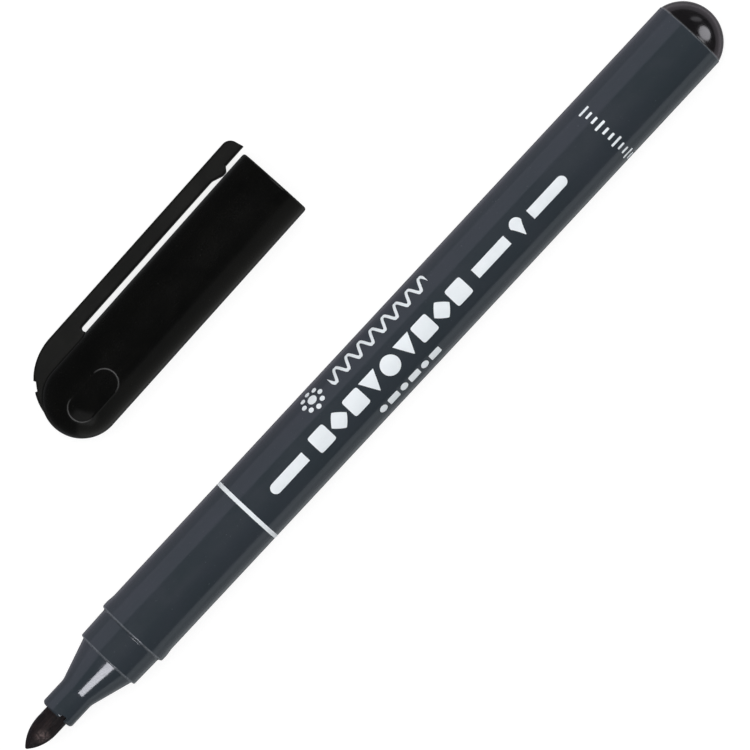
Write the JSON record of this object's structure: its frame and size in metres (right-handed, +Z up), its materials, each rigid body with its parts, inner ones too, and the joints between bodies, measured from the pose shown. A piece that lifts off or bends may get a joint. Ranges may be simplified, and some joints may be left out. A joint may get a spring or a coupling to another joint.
{
  "type": "felt tip marker",
  "caption": "Fibre-tipped marker pen lying beside its pulled-off clip cap: straight round barrel, stepped neck, cone nose, bullet nib, domed end plug, and a round-ended cap with a pocket clip.",
  "frame": {"origin": "on the surface that the pen and its cap lie on, below the middle of the whole group", "axes": "+X along the pen from the nib to the end plug; +Y across, from the pen to the cap; +Z up from the surface"},
  "size_m": [0.1256, 0.0384, 0.0105],
  "materials": {
    "barrel_grey": "satin moulded polypropylene, slate grey",
    "gloss_black": "glossy black moulded plastic",
    "cap_black": "satin black moulded polypropylene",
    "nib_fibre": "bonded fibre, soaked with dark ink",
    "ink_core": "bonded fibre core, soaked with dark ink",
    "clear_film": "thin clear film",
    "seal_natural": "soft natural polyethylene"
  },
  "bodies": {
    "pen": {"barrel": "barrel_grey", "end_plug": "gloss_black", "nib": "nib_fibre", "ink_reservoir": "ink_core", "reservoir_wrap": "clear_film"},
    "cap": {"cap_shell": "cap_black", "cap_inner_seal": "seal_natural"},
    "clip": {"clip_arm": "cap_black"}
  },
  "joints": [
    {"name": "cap_slide", "type": "slide", "parent": "pen", "child": "cap", "axis": [0.9998, 0.0215, 0], "range_m": [0, 0.0194]},
    {"name": "clip_flex", "type": "hinge", "parent": "cap", "child": "clip", "pos_m": [-0.01988, 0.01753, 0.00523], "axis": [0, 0, 1], "range_deg": [0, 4], "stiffness_Nm_per_rad": 0.2}
  ]
}
